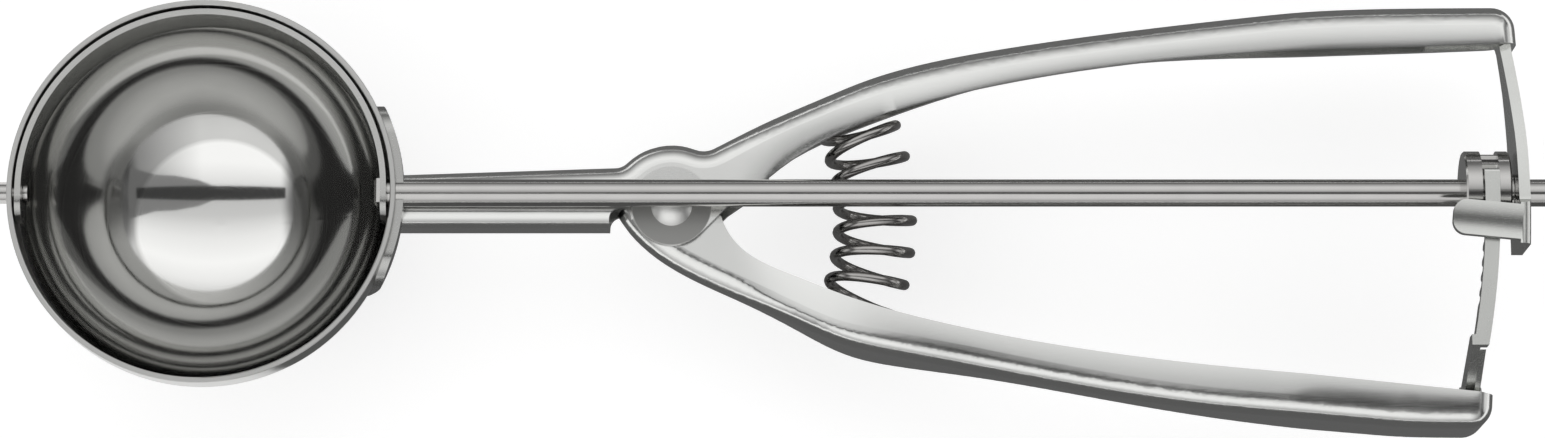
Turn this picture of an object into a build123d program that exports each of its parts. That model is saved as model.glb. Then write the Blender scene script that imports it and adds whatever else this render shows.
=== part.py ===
"""Lever ice cream scoop: bowl, pressed handle, squeeze lever, rack-driven scraper.

Millimetres. The origin is the middle of the bowl's mouth. +X runs along the spindle to the
lever ends, +Y points to the upper lever, and +Z points out of the bowl's mouth.
"""

import math
import os

from build123d import *

# ---- bowl ----
BOWL_OUTER_RADIUS = 27.75
BOWL_WALL = 0.8
SPINDLE_DEPTH = 2.5  # spindle axis under the rim; the bowl's sphere is centred on it
RIM_ROUNDING = 0.15

# ---- sheet of the handle and the squeeze lever ----
SHEET = 1.0
BACK_ROUNDING = 3.0  # outer radius between a lever's back and its walls
END_CORNER = 3.4  # outer radius between a lever's back and its closed end
HANDLE_DEPTH = 11.0  # middle plane of both levers under the rim

# ---- pivot ----
PIVOT_X = 67.0
PIVOT_Y = -1.1
EAR_RADIUS = 5.75
ARCH_RADIUS = 9.3  # handle's back where it arches over the pivot
ARCH_REACH = 5.2  # how far the arch goes on past the pivot, into the upper lever
EAR_WIDTH = 9.0  # over the outside of the two ears
EAR_GAP = 0.15  # each side, between the ears and the squeeze lever inside them
RIVET_RADIUS = 1.5
RIVET_HEAD_RADIUS = 2.95
RIVET_HEAD_HEIGHT = 1.25
BUSH_WALL = 0.8
FIT = 0.05  # radial clearance of every pin, bush and shaft that turns

# ---- shank ----
SHANK_TOP = 3.8  # above the spindle axis, at the bowl
SHANK_RISE = 1.1  # how much higher its top is where the arch starts
SHANK_BOTTOM = 4.0  # below the spindle axis
SHANK_ROUNDING = 2.5  # outer radius of the shank's two lower edges
SHANK_END = 9.0  # from the pivot back to the cut end of the shank's underside
NOTCH_WIDTH = 3.2
NOTCH_TOP = 0.3  # below the pivot
ARCH_BLEND = 2.5  # radius between shank and arch
DIP_BLEND = 3.3  # radius between arch and upper lever

# ---- saddle ----
SADDLE_SHEET = 1.1
SADDLE_HALF_LENGTH = 13.1
SADDLE_TOP = 0.9  # below the rim
SADDLE_HEIGHT = 17.0
SADDLE_CORNER = 4.5

# ---- upper lever: distance from the pivot, height of its back, depth of its near wall ----
UPPER_START = (3.0, 7.25)
UPPER_SLOPE = 0.5
UPPER_BACK = [
    (14.0, 12.7, 8.6),
    (21.3, 15.6, 6.7),
    (28.5, 18.4, 6.3),
    (46.7, 23.2, 5.6),
    (82.8, 27.6, 5.6),
    (121.4, 28.9, 5.5),
]
UPPER_CROTCH = (8.0, -0.1)  # corner between an ear and the upper lever's lower edge
CROTCH_ROUNDING = 2.0
UPPER_END_LEAN = 0.4  # how far the upper lever's end leans out at its lower edge
FAR_WALL_STEP = 1.9  # how much shallower the upper lever's far wall is
FAR_WALL_START = 14.0  # from the pivot

# ---- squeeze lever: distance from the pivot, depth of its back, depth of its walls ----
LOWER_TIP = (-7.8, -0.8)
LOWER_TIP_LEAN = 60.0  # degrees, how steeply its back starts down
LOWER_BACK = [
    (10.5, 13.5, 7.1),
    (17.8, 17.0, 6.7),
    (25.0, 20.3, 6.8),
    (32.2, 22.0, 6.2),
    (43.0, 23.8, 5.7),
    (79.0, 29.8, 6.2),
    (100.0, 31.85, 6.0),
    (117.0, 32.4, 4.8),
]
LOWER_CROTCH = (7.1, -1.3)  # where the walls' edge meets the ears
LOWER_EAR_RADIUS = 5.2
LOWER_END_LEAN = 0.3

# ---- widths of both levers ----
NECK_DISTANCE = 7.5  # from the pivot, where the levers start to widen
SEAT_DISTANCE = 27.8
SEAT_WIDTH = 15.0
WAIST_DISTANCE = 45.0
WAIST_WIDTH = 10.6
GRIP_DISTANCE = 88.0
GRIP_WIDTH = 15.2

# ---- spindle, scraper and its pin ----
ROD_RADIUS = 1.95
ROD_STUB = 4.5  # beyond the end strap
ROD_TIP_ROUNDING = 0.8
TENON_SIDE = 2.4
PEEN_SIDE = 3.5
PEEN_THICKNESS = 0.9
PEEN_CHAMFER = 0.35
PEEN_GAP = 0.08  # to the ear, which is slightly curved
SCRAPER_SHEET = 0.85
SCRAPER_WIDTH = 7.0
SCRAPER_GAP = 0.5  # between the scraper's outside and the bowl
SCRAPER_EAR = 4.3  # length of an ear past the axis
SCRAPER_EAR_CORNER = 3.0
SCRAPER_TILT = 4.0  # degrees under the mouth's plane at rest
PIN_RADIUS = 1.0
PIN_HEAD_RADIUS = 1.58
PIN_HEAD_LENGTH = 2.6
PIN_PEEN_RADIUS = 1.4
PIN_PEEN_LENGTH = 0.6
PIN_HEAD_ROUNDING = 1.2
PIN_GAP = 0.1  # between the pin's inner end and the scraper's ear

# ---- drive ----
MODULE = 0.7
PINION_TEETH = 14
PRESSURE_ANGLE = 20.0
PINION_ADDENDUM = 0.65
RACK_ADDENDUM = 0.55
DEDENDUM = 0.9
BACKLASH = 0.16
RACK_DISTANCE = 116.6  # pivot to the middle of the rack's thickness
RACK_SHEET = 2.1
RACK_BODY = 1.3  # behind the tooth roots
RACK_TOP = 2.4  # rack's upper end over the spindle axis at rest
RACK_END_ROUNDING = 0.5
RACK_TEETH_LENGTH = 21.0
RACK_STEP = 23.0  # below the spindle axis, where the foot beside the lug starts
RACK_SLANT = 5.2  # height over which the foot slants back into the channel
RACK_FOOT_SHEET = 1.2
FOOT_OFFSET = 0.25  # how far the foot stands out from the rack's inner side
RACK_FOOT_WIDTH = 5.0
FOOT_SETBACK = 0.3  # foot behind the inside of the squeeze lever's near wall
FOOT_CLEAR = 0.1  # foot over the lug's base
FOOT_LAP = 1.5  # how far the foot goes up into the rack
FOOT_SHOULDER = 1.0  # how much higher the slant starts on the foot's far side
BARREL_RADIUS = 5.95
BARREL_COLLAR = 2.3
BARREL_FLANGE = 1.75
BARREL_CHAMFER = 0.25
GROOVE_GAP = 0.17  # each side of the rack in the barrel's groove
HUB_RADIUS = 2.7
HUB_LENGTH = 0.65
HUB_GAP = 0.1

# ---- end strap ----
STRAP_SHEET = 1.6
STRAP_BEND = 230.0  # radius that the strap is curved to
# edges of the strap, the front one from the guide tab up: height over the spindle, then over the rim
STRAP_FRONT = [(-2.2, 4.8), (5.0, 3.4), (8.0, 2.3), (15.0, -1.4), (21.5, -5.0), (26.4, -5.4)]
STRAP_REAR = [(26.4, -14.5), (21.5, -9.4), (15.0, -7.5), (8.0, -6.6), (-3.0, -6.4), (-8.7, -4.4)]
STRAP_FOOT = 10.0
STRAP_FOOT_WIDTH = 7.0
TAB_GAP = 0.15
TAB_SHEET = 1.5
TAB_TOP = 3.3  # below the spindle axis, at the strap
TAB_HEIGHT = 5.0
TAB_REACH = 11.2  # from the strap's outer face towards the pivot
TAB_TILT = 5.5
TAB_CORNER = 1.9
TAB_BEND = 1.4  # outer radius where the tab turns away from the strap
TAB_RISE = 0.4  # how far the strap goes on at full depth above the tab

# ---- rack lug and rivet ----
LUG_SHEET = 0.8
LUG_SETBACK = 0.6  # lug's front edge behind the foot's
LUG_TIP = 2.0  # width of the lug's upper end
LUG_BASE = 6.5
CORNER_GAP = 0.4  # foot and lug to the rounding inside the squeeze lever
FLOOR_RISE = 0.35  # squeeze lever's inside under the lug, over its inside at the lever's end
RACK_RIVET_RADIUS = 0.9
RACK_RIVET_HEAD = 1.6
RACK_RIVET_HEAD_HEIGHT = 0.5
RACK_RIVET_RISE = 3.15  # above the squeeze lever's inside

# ---- spring: coiled round an arc that leaves both seats at right angles ----
WIRE_RADIUS = 0.75
SPRING_RADIUS = 5.35  # to the middle of the wire
SPRING_BEND = 37.0  # radius of the arc
SPRING_LENGTH = 32.8  # along the arc, from seat to seat
SPRING_MIDDLE = (29.3, -1.15)  # the arc's middle, from the pivot
SPRING_TURNS = 9.0
CLOSED_TURNS = 0.9  # at each end
CLOSED_PITCH = 1.6
SPRING_PHASE = 160.0  # degrees, where the wire starts in the lower seat
POINTS_PER_TURN = 10

# ---- worked out from the sizes above ----
BIG = 60.0
bowl_inner_radius = BOWL_OUTER_RADIUS - BOWL_WALL
saddle_radius = BOWL_OUTER_RADIUS + SADDLE_SHEET
scraper_radius = bowl_inner_radius - SCRAPER_GAP
scraper_inner = scraper_radius - SCRAPER_SHEET
ear_half = EAR_WIDTH / 2
tongue_half = ear_half - SHEET - EAR_GAP
bush_radius = RIVET_RADIUS + BUSH_WALL
pitch_radius = MODULE * PINION_TEETH / 2
rack_front = pitch_radius + DEDENDUM + RACK_BODY - SPINDLE_DEPTH
tab_front = rack_front + TAB_GAP + TAB_SHEET
rack_x = PIVOT_X + math.sqrt(RACK_DISTANCE**2 - PIVOT_Y**2)
rack_inner = RACK_DISTANCE - RACK_SHEET / 2
rack_outer = RACK_DISTANCE + RACK_SHEET / 2
groove_half = RACK_SHEET / 2 + GROOVE_GAP
barrel_left = rack_x - groove_half - BARREL_COLLAR
barrel_right = rack_x + groove_half + BARREL_FLANGE
strap_x = barrel_right + HUB_LENGTH + HUB_GAP
spindle_end = strap_x + STRAP_SHEET + ROD_STUB
near_wall_inside = -HANDLE_DEPTH + GRIP_WIDTH / 2 - SHEET
notch_line = PIVOT_Y - NOTCH_TOP
shank_end = PIVOT_X - SHANK_END
foot_x = PIVOT_X + math.sqrt(rack_inner**2 - (RACK_STEP + PIVOT_Y) ** 2) - FOOT_OFFSET
lug_x = foot_x + RACK_FOOT_SHEET
floor_depth = LOWER_BACK[-1][1] - PIVOT_Y - SHEET - FLOOR_RISE
foot_near = near_wall_inside - FOOT_SETBACK
foot_far = foot_near - RACK_FOOT_WIDTH
foot_low = LUG_SHEET + FOOT_CLEAR - floor_depth
corner_cut = BACK_ROUNDING - SHEET + CORNER_GAP
rack_rivet_at = (RACK_RIVET_RISE - floor_depth, (foot_near + foot_far) / 2)


def node(name, solid):
    """Write one sub-part."""
    export_step(solid, f"parts/{name}.step")


def polygon(*points):
    return make_face(Polyline(*points, close=True))


def rounded(face, x, y, radius):
    """Round the corner of a face that is nearest to a point."""
    corner = min(face.vertices(), key=lambda v: (v.X - x) ** 2 + (v.Y - y) ** 2)
    return fillet(corner, radius).faces()[0]


def prism(face, low, high):
    """Extrude a face of the XY plane from height low to height high."""
    return extrude(Pos(0, 0, low) * face, amount=high - low)


def prism_x(face, start, end):
    """Extrude a face drawn as (y, z) along X."""
    return extrude(Plane.YZ.offset(start) * face, amount=end - start)


def cylinder_x(radius, start, end, y=0.0, z=-SPINDLE_DEPTH):
    along = Cylinder(radius, end - start, align=(Align.CENTER, Align.CENTER, Align.MIN))
    return Pos(start, y, z) * Rot(0, 90, 0) * along


def cylinder_z(radius, low, high, x=PIVOT_X, y=PIVOT_Y):
    return Pos(x, y, low) * Cylinder(radius, high - low, align=(Align.CENTER, Align.CENTER, Align.MIN))


def ring_z(inner, outer, x=PIVOT_X, y=PIVOT_Y):
    """A tall ring about an axis along Z."""
    return cylinder_z(outer, -BIG, BIG, x, y) - cylinder_z(inner, -BIG, BIG, x, y)


def from_pivot(along, up):
    return (PIVOT_X + along, PIVOT_Y + up)


# ---------------------------------------------------------------- the two pressed levers


def plan_solid(start, start_half, end, inset):
    """The levers' plan, wide at the spring seat and the grip, as a solid of full height."""
    widths = [
        (NECK_DISTANCE, start_half),
        (SEAT_DISTANCE, SEAT_WIDTH / 2),
        (WAIST_DISTANCE, WAIST_WIDTH / 2),
        (GRIP_DISTANCE, GRIP_WIDTH / 2),
        (end - PIVOT_X, GRIP_WIDTH / 2),
    ]
    near = [(PIVOT_X + along, half - inset) for along, half in widths]
    far = [(x, -half) for x, half in near]
    face = make_face([
        Spline(*near, tangents=[(1, 0), (1, 0)]),
        Spline(*far, tangents=[(1, 0), (1, 0)]),
        Polyline(near[0], (start, near[0][1]), (start, far[0][1]), far[0]),
        Line(near[-1], far[-1]),
    ])
    standing = Pos(0, 0, -HANDLE_DEPTH) * Rot(90, 0, 0) * face
    return extrude(standing, amount=BIG, both=True)


def flank_edges(form, outline, side, start, end, half):
    """Long edges of a form along the outline's upper (+1) or lower (-1) side."""
    chosen = []
    for edge in form.edges():
        first, middle, last = [edge.position_at(t) for t in (0.0, 0.5, 1.0)]
        on_wall = all(abs(p.Z + HANDLE_DEPTH) > half - 0.01 for p in (first, middle, last))
        beyond = Vector(middle.X, middle.Y + side * 0.2, 0)
        if on_wall and start < middle.X < end and not outline.is_inside(beyond):
            if edge.geom_type != GeomType.LINE or abs(last.X - first.X) > 0.5:
                chosen.append(edge)
    return chosen


def lever_lines(rows, side):
    """Points of a lever's back and of its walls' free edge."""
    back = [from_pivot(along, side * height) for along, height, _ in rows]
    edge = [from_pivot(along, side * (height - depth)) for along, height, depth in rows]
    return back, edge


def inset_back(points, tangents, side, inset):
    """A lever's back line, or the same line moved one inset into the lever."""
    line = Spline(*points, tangents=tangents)
    if not inset:
        return line
    moved = []
    for point in points:
        along = line.tangent_at(line.param_at_point(point))
        moved.append((point[0] + side * inset * along.Y, point[1] - side * inset * along.X))
    moved[-1] = (moved[-1][0] - inset, moved[-1][1])
    return Spline(*moved, tangents=tangents)


# ---------------------------------------------------------------- handle frame


def handle_outline(inset):
    """Side outline of shank, arch, ears and upper lever, or of the cavity inside them."""
    back, edge = lever_lines(UPPER_BACK, 1)
    start = from_pivot(*UPPER_START)
    crotch = from_pivot(*UPPER_CROTCH)
    pivot = (PIVOT_X, PIVOT_Y)
    roof = inset_back([start, *back], [(1, UPPER_SLOPE), (1, 0)], 1, inset)
    end_low = (back[-1][0] + UPPER_END_LEAN, edge[-1][1])
    below = [Line(end_low, edge[-1]), Spline(*edge), Line(edge[0], crotch), Line(crotch, pivot)]
    if inset:
        end_low = (roof @ 1).X, -BIG
        below = [Line(end_low, (PIVOT_X, -BIG)), Line((PIVOT_X, -BIG), pivot)]
    lever = make_face([roof, Line(roof @ 1, end_low), *below, Line(pivot, roof @ 0)])
    arch_foot = PIVOT_X - EAR_RADIUS - 1.2
    rise = SHANK_TOP + SHANK_RISE - inset
    floor = inset - SHANK_BOTTOM
    notch_middle = shank_end + NOTCH_WIDTH / 2
    notch_foot = -BIG if inset else notch_line - NOTCH_WIDTH / 2
    shank = polygon(
        (bowl_inner_radius, floor),
        (bowl_inner_radius, SHANK_TOP - inset),
        (arch_foot, rise),
        (PIVOT_X, rise),
        (PIVOT_X, notch_foot),
        (notch_middle, notch_foot),
        (notch_middle, floor),
    )
    disc = Pos(*pivot) * Circle(ARCH_RADIUS - inset)
    arch_start = PIVOT_X - ARCH_RADIUS
    arch_room = Pos(PIVOT_X + (ARCH_REACH - ARCH_RADIUS) / 2, notch_line + ARCH_RADIUS / 2)
    arch = disc & (arch_room * Rectangle(ARCH_REACH + ARCH_RADIUS, ARCH_RADIUS + 2 * NOTCH_TOP))
    face = shank + arch + lever
    if not inset:
        slant = EAR_RADIUS * math.sqrt(0.5)
        face = face + polygon(pivot, from_pivot(slant, -slant), crotch)
        face = face + Pos(*pivot) * Circle(EAR_RADIUS)
    face = face.faces()[0]
    face = rounded(face, arch_foot, rise, ARCH_BLEND + inset)
    face = rounded(face, *from_pivot(4.6 - 0.1 * inset, 8.1 - inset), DIP_BLEND + inset)
    face = rounded(face, (roof @ 1).X, (roof @ 1).Y, END_CORNER - inset)
    return face if inset else rounded(face, *crotch, CROTCH_ROUNDING)


def make_handle(ball):
    outline = handle_outline(0)
    end = PIVOT_X + UPPER_BACK[-1][0] + 2 * UPPER_END_LEAN
    low = -HANDLE_DEPTH - GRIP_WIDTH
    high = -HANDLE_DEPTH + GRIP_WIDTH
    notch_middle = shank_end + NOTCH_WIDTH / 2
    notch_foot = notch_line - NOTCH_WIDTH / 2
    notch = Pos(notch_middle, notch_foot) * Circle(NOTCH_WIDTH / 2)
    notch += Pos(notch_middle, notch_foot - SHANK_BOTTOM) * Rectangle(NOTCH_WIDTH, 2 * SHANK_BOTTOM)
    form = prism(outline, low, high) & plan_solid(bowl_inner_radius, ear_half, end, 0)
    form = (form - prism(notch, low, high)).solids()[0]
    form = form.fillet(BACK_ROUNDING, flank_edges(form, outline, 1, 0, end + 1, ear_half))
    form = form.fillet(SHANK_ROUNDING, flank_edges(form, outline, -1, 0, shank_end, ear_half))

    inside = handle_outline(SHEET)
    cavity = prism(inside, low, high) & plan_solid(bowl_inner_radius, ear_half, end, SHEET)
    cavity = cavity.solids()[0]
    edges = flank_edges(cavity, inside, 1, 0, end + 1, ear_half - SHEET)
    cavity = cavity.fillet(BACK_ROUNDING - SHEET, edges)
    edges = flank_edges(cavity, inside, -1, 0, shank_end, ear_half - SHEET)
    cavity = cavity.fillet(SHANK_ROUNDING - SHEET, edges)
    shell = form - cavity

    strip = outline - Pos(0, FAR_WALL_STEP) * outline
    strip = strip & Pos(PIVOT_X + FAR_WALL_START + 100, 0) * Rectangle(200, 2 * BIG)
    shell = shell - prism(strip, low, -HANDLE_DEPTH) - ball
    shell = shell - cylinder_z(RIVET_RADIUS, low, high)
    return shell.solids()[0]


# ---------------------------------------------------------------- squeeze lever


def squeeze_outline(inset):
    """Side outline of the squeeze lever, or of the cavity inside it."""
    back, edge = lever_lines(LOWER_BACK, -1)
    tip = from_pivot(*LOWER_TIP)
    crotch = from_pivot(*LOWER_CROTCH)
    pivot = (PIVOT_X, PIVOT_Y)
    lean = math.radians(-LOWER_TIP_LEAN)
    floor = inset_back([tip, *back], [(math.cos(lean), math.sin(lean)), (1, 0)], -1, inset)
    end_high = (back[-1][0] + LOWER_END_LEAN, edge[-1][1])
    shoulder = from_pivot(-LOWER_EAR_RADIUS * 0.94, LOWER_EAR_RADIUS * 0.34)
    above = [Line(end_high, edge[-1]), Spline(crotch, *edge)]
    above += [Line(crotch, pivot), Line(pivot, shoulder)]
    if inset:
        end_high = (floor @ 1).X, BIG
        shoulder = (floor @ 0).X, BIG
        above = [Line(end_high, shoulder)]
    lever = make_face([floor, Line(floor @ 1, end_high), *above, Line(shoulder, floor @ 0)])
    if not inset:
        lever = lever + Pos(*pivot) * Circle(LOWER_EAR_RADIUS)
    return rounded(lever.faces()[0], (floor @ 1).X, (floor @ 1).Y, END_CORNER - inset)


def make_squeeze_lever():
    outline = squeeze_outline(0)
    inside = squeeze_outline(SHEET)
    start = PIVOT_X + LOWER_TIP[0] - 1.0
    end = PIVOT_X + LOWER_BACK[-1][0] + 2 * LOWER_END_LEAN
    low = -HANDLE_DEPTH - GRIP_WIDTH
    high = -HANDLE_DEPTH + GRIP_WIDTH
    form = (prism(outline, low, high) & plan_solid(start, tongue_half, end, 0)).solids()[0]
    edges = flank_edges(form, outline, -1, 0, end + 1, tongue_half)
    form = form.fillet(BACK_ROUNDING, edges)
    cavity = (prism(inside, low, high) & plan_solid(start, tongue_half, end, SHEET)).solids()[0]
    edges = flank_edges(cavity, inside, -1, 0, end + 1, tongue_half - SHEET)
    cavity = cavity.fillet(BACK_ROUNDING - SHEET, edges)
    shell = form - cavity - cylinder_z(bush_radius + FIT, low, high)
    return shell.solids()[0]


def half_ball(radius, top):
    """Lower half ball about the spindle axis, with a straight collar up to a height."""
    level = -SPINDLE_DEPTH
    rim = (radius, top)
    pole = (0, level - radius)
    slant = radius * math.sqrt(0.5)
    face = make_face([
        Polyline(pole, (0, top), rim, (radius, level)),
        ThreePointArc((radius, level), (slant, level - slant), pole),
    ])
    return revolve(Plane.XZ * face, axis=Axis.Z)


# ---------------------------------------------------------------- bowl, saddle, pivot


def make_bowl():
    shell = half_ball(BOWL_OUTER_RADIUS, 0) - half_ball(bowl_inner_radius, SHEET)
    rim = [edge for edge in shell.edges() if abs(edge.center().Z) < 0.01]
    shell = fillet(rim, RIM_ROUNDING)
    reach = BOWL_OUTER_RADIUS + 1
    return shell - cylinder_x(ROD_RADIUS + FIT, 0, reach) - cylinder_x(PIN_RADIUS, -reach, 0)


def make_saddle():
    shell = half_ball(saddle_radius, 0) - half_ball(BOWL_OUTER_RADIUS, SHEET)
    middle = -SADDLE_TOP - SADDLE_HEIGHT / 2
    outline = Pos(0, middle) * RectangleRounded(2 * SADDLE_HALF_LENGTH, SADDLE_HEIGHT, SADDLE_CORNER)
    patch = shell & prism_x(outline, 0, saddle_radius + 1)
    return (patch - cylinder_x(ROD_RADIUS + FIT, 0, saddle_radius + 1)).solids()[0]


def dome(radius, height):
    """A shallow domed rivet head standing on z = 0."""
    ball_radius = (radius**2 + height**2) / (2 * height)
    cap = Pos(0, 0, height - ball_radius) * Sphere(ball_radius)
    return cap & Cylinder(radius, height, align=(Align.CENTER, Align.CENTER, Align.MIN))


def make_rivet():
    near = -HANDLE_DEPTH + ear_half
    far = -HANDLE_DEPTH - ear_half
    head = dome(RIVET_HEAD_RADIUS, RIVET_HEAD_HEIGHT)
    shaft = cylinder_z(RIVET_RADIUS, far, near)
    other = Pos(PIVOT_X, PIVOT_Y, far) * Rot(180, 0, 0) * head
    return (shaft + Pos(PIVOT_X, PIVOT_Y, near) * head + other).solids()[0]


def make_bush():
    low = -HANDLE_DEPTH - ear_half + SHEET
    high = -HANDLE_DEPTH + ear_half - SHEET
    return cylinder_z(bush_radius, low, high) - cylinder_z(RIVET_RADIUS, low, high)


# ---------------------------------------------------------------- spindle


def bar_x(side, start, end):
    """A square bar on the spindle axis, turned with the scraper."""
    bar = Pos((start + end) / 2, 0, 0) * Box(end - start, side, side)
    return Pos(0, 0, -SPINDLE_DEPTH) * Rot(-SCRAPER_TILT, 0, 0) * bar


def make_rod():
    rod = cylinder_x(ROD_RADIUS, scraper_radius, spindle_end)
    tip = [edge for edge in rod.edges() if edge.center().X > spindle_end - 0.01]
    rod = fillet(tip, ROD_TIP_ROUNDING)
    peen_end = scraper_inner - PEEN_GAP
    tenon = bar_x(TENON_SIDE, peen_end - PEEN_THICKNESS, scraper_radius)
    peen = bar_x(PEEN_SIDE, peen_end - PEEN_THICKNESS, peen_end)
    peen = chamfer(peen.faces().sort_by(Axis.X)[0].edges(), PEEN_CHAMFER)
    return (rod + tenon + peen).solids()[0]


def make_scraper():
    """Half a ring, with a flat ear going on past the axis at each end."""
    height = SCRAPER_WIDTH
    ring = Cylinder(scraper_radius, height) - Cylinder(scraper_inner, height)
    band = ring & Pos(0, BIG / 2, 0) * Box(2 * BIG, BIG, height)
    blank = RectangleRounded(2 * SCRAPER_EAR, height, SCRAPER_EAR_CORNER)
    for side in (1, -1):
        ear = prism_x(blank, 0, SCRAPER_SHEET) & Pos(0, -BIG / 2, 0) * Box(2 * BIG, BIG, height)
        band += Pos(side * (scraper_inner + SCRAPER_SHEET / 2) - SCRAPER_SHEET / 2, 0, 0) * ear
    band = Pos(0, 0, -SPINDLE_DEPTH) * Rot(-SCRAPER_TILT, 0, 0) * band
    band = band - bar_x(TENON_SIDE, 0, scraper_radius + 1)
    return (band - cylinder_x(PIN_RADIUS + FIT, -scraper_radius - 1, 0)).solids()[0]


def make_pin():
    """Stub pin through the bowl's free side, with a domed end outside and a peen inside."""
    outside = -BOWL_OUTER_RADIUS - PIN_HEAD_LENGTH
    inside = -scraper_inner + PIN_GAP
    head = cylinder_x(PIN_HEAD_RADIUS, outside, -bowl_inner_radius)
    end = [edge for edge in head.edges() if edge.center().X < outside + 0.01]
    head = fillet(end, PIN_HEAD_ROUNDING) - half_ball(BOWL_OUTER_RADIUS, 0)
    shaft = cylinder_x(PIN_RADIUS, outside + PIN_HEAD_RADIUS, inside + PIN_PEEN_LENGTH / 2)
    peen = cylinder_x(PIN_PEEN_RADIUS, inside, inside + PIN_PEEN_LENGTH)
    return (head + shaft + peen).solids()[0]


# ---------------------------------------------------------------- drive


def involute(angle):
    return math.tan(angle) - angle


def tooth_half_angle(radius):
    """Half the angle that a pinion tooth takes up at a radius."""
    pressure = math.radians(PRESSURE_ANGLE)
    base = pitch_radius * math.cos(pressure)
    at_pitch = math.pi / (2 * PINION_TEETH) - BACKLASH / (4 * pitch_radius)
    here = math.acos(base / max(radius, base))
    return at_pitch + involute(pressure) - involute(here)


def pinion_gap():
    """The space between two pinion teeth, pointing to +Z, drawn as (y, z)."""
    root = pitch_radius - DEDENDUM
    tip = pitch_radius + PINION_ADDENDUM + 0.3
    flank = []
    for step in range(6):
        radius = root + (tip - root) * step / 5
        half = math.pi / PINION_TEETH - tooth_half_angle(radius)
        flank.append((radius * math.sin(half), radius * math.cos(half)))
    other = [(-y, z) for y, z in flank]
    return polygon(*flank, *reversed(other))


def make_barrel():
    left = rack_x - groove_half
    right = rack_x + groove_half
    barrel = cylinder_x(BARREL_RADIUS, barrel_left, barrel_right)
    ends = [edge for edge in barrel.edges() if edge.geom_type == GeomType.CIRCLE]
    barrel = chamfer(ends, BARREL_CHAMFER)
    tips = cylinder_x(pitch_radius + PINION_ADDENDUM, left, right)
    groove = cylinder_x(BARREL_RADIUS + 1, left, right) - tips
    gap = prism_x(pinion_gap(), left, right)
    for tooth in range(PINION_TEETH):
        turned = Rot(360 / PINION_TEETH * tooth, 0, 0) * gap
        groove += Pos(0, 0, -SPINDLE_DEPTH) * turned
    hub = cylinder_x(HUB_RADIUS, barrel_right, barrel_right + HUB_LENGTH)
    bore = cylinder_x(ROD_RADIUS, barrel_left, spindle_end)
    return (barrel - groove + hub - bore).solids()[0]


def rack_gap():
    """The space between two rack teeth, cut along X, at the height of the pivot."""
    slope = math.tan(math.radians(PRESSURE_ANGLE))
    at_pitch = math.pi * MODULE / 4 + BACKLASH / 4
    root = at_pitch - DEDENDUM * slope
    mouth = at_pitch + (RACK_ADDENDUM + 0.3) * slope
    pitch_line = pitch_radius - SPINDLE_DEPTH
    face = polygon(
        (mouth, pitch_line - RACK_ADDENDUM - 0.3),
        (root, pitch_line + DEDENDUM),
        (-root, pitch_line + DEDENDUM),
        (-mouth, pitch_line - RACK_ADDENDUM - 0.3),
    )
    return prism_x(face, rack_inner - 0.5, rack_outer + 0.5)


def make_rack():
    """Arc about the pivot with teeth towards the barrel, and a flat foot slanting back."""
    tips = pitch_radius - RACK_ADDENDUM - SPINDLE_DEPTH
    room = Pos(rack_x, (RACK_TOP - RACK_STEP) / 2, (tips + rack_front) / 2)
    block = room * Box(BIG, RACK_TOP + RACK_STEP, rack_front - tips)
    bar = ring_z(rack_inner, rack_outer) & block
    end = [edge for edge in bar.edges() if edge.center().Y > RACK_TOP - 0.01 and edge.center().Z > 0]
    bar = fillet([edge for edge in end if edge.center().Z > rack_front - 0.01], RACK_END_ROUNDING)
    at_spindle = math.degrees(math.asin(-PIVOT_Y / RACK_DISTANCE))
    pitch = math.degrees(math.pi * MODULE / RACK_DISTANCE)
    above = math.floor(RACK_TOP / (math.pi * MODULE) + 0.5)
    below = math.floor((RACK_TEETH_LENGTH - RACK_TOP) / (math.pi * MODULE))
    gap = rack_gap()
    for tooth in range(-below, above + 1):
        angle = at_spindle + (tooth + 0.5) * pitch
        bar -= Pos(PIVOT_X, PIVOT_Y, 0) * Rot(0, 0, angle) * gap
    foot = polygon(
        (FOOT_LAP - RACK_STEP, rack_front),
        (-RACK_STEP, rack_front),
        (-RACK_STEP - RACK_SLANT, foot_near),
        (foot_low + corner_cut, foot_near),
        (foot_low, foot_near - corner_cut),
        (foot_low, foot_far),
        (FOOT_SHOULDER - RACK_STEP - RACK_SLANT, foot_far),
        (FOOT_LAP - RACK_STEP, tips),
    )
    rack = bar + prism_x(foot, foot_x, lug_x)
    return (rack - cylinder_x(RACK_RIVET_RADIUS, foot_x - 1, lug_x, *rack_rivet_at)).solids()[0]


def make_lug(lever):
    """Angle piece on the squeeze lever's floor, its standing leg beside the rack's foot."""
    top = -RACK_STEP - LUG_SETBACK
    leg = polygon(
        (top, rack_front - LUG_SETBACK),
        (top - RACK_SLANT, foot_near),
        (corner_cut - floor_depth, foot_near),
        (-floor_depth, foot_near - corner_cut),
        (-floor_depth, foot_far),
        (FOOT_SHOULDER - RACK_STEP - RACK_SLANT, foot_far),
        (top, rack_front - LUG_SETBACK - LUG_TIP),
    )
    base_width = foot_near - corner_cut - foot_far
    middle = Pos(lug_x - LUG_BASE / 2, LUG_SHEET / 2 - floor_depth, foot_far + base_width / 2)
    base = middle * Box(LUG_BASE, LUG_SHEET, base_width)
    lug = prism_x(leg, lug_x, lug_x + LUG_SHEET) + base - lever
    lug = lug - cylinder_x(RACK_RIVET_RADIUS, foot_x, lug_x + 2, *rack_rivet_at)
    return lug.solids().sort_by(SortBy.VOLUME)[-1]


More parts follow.
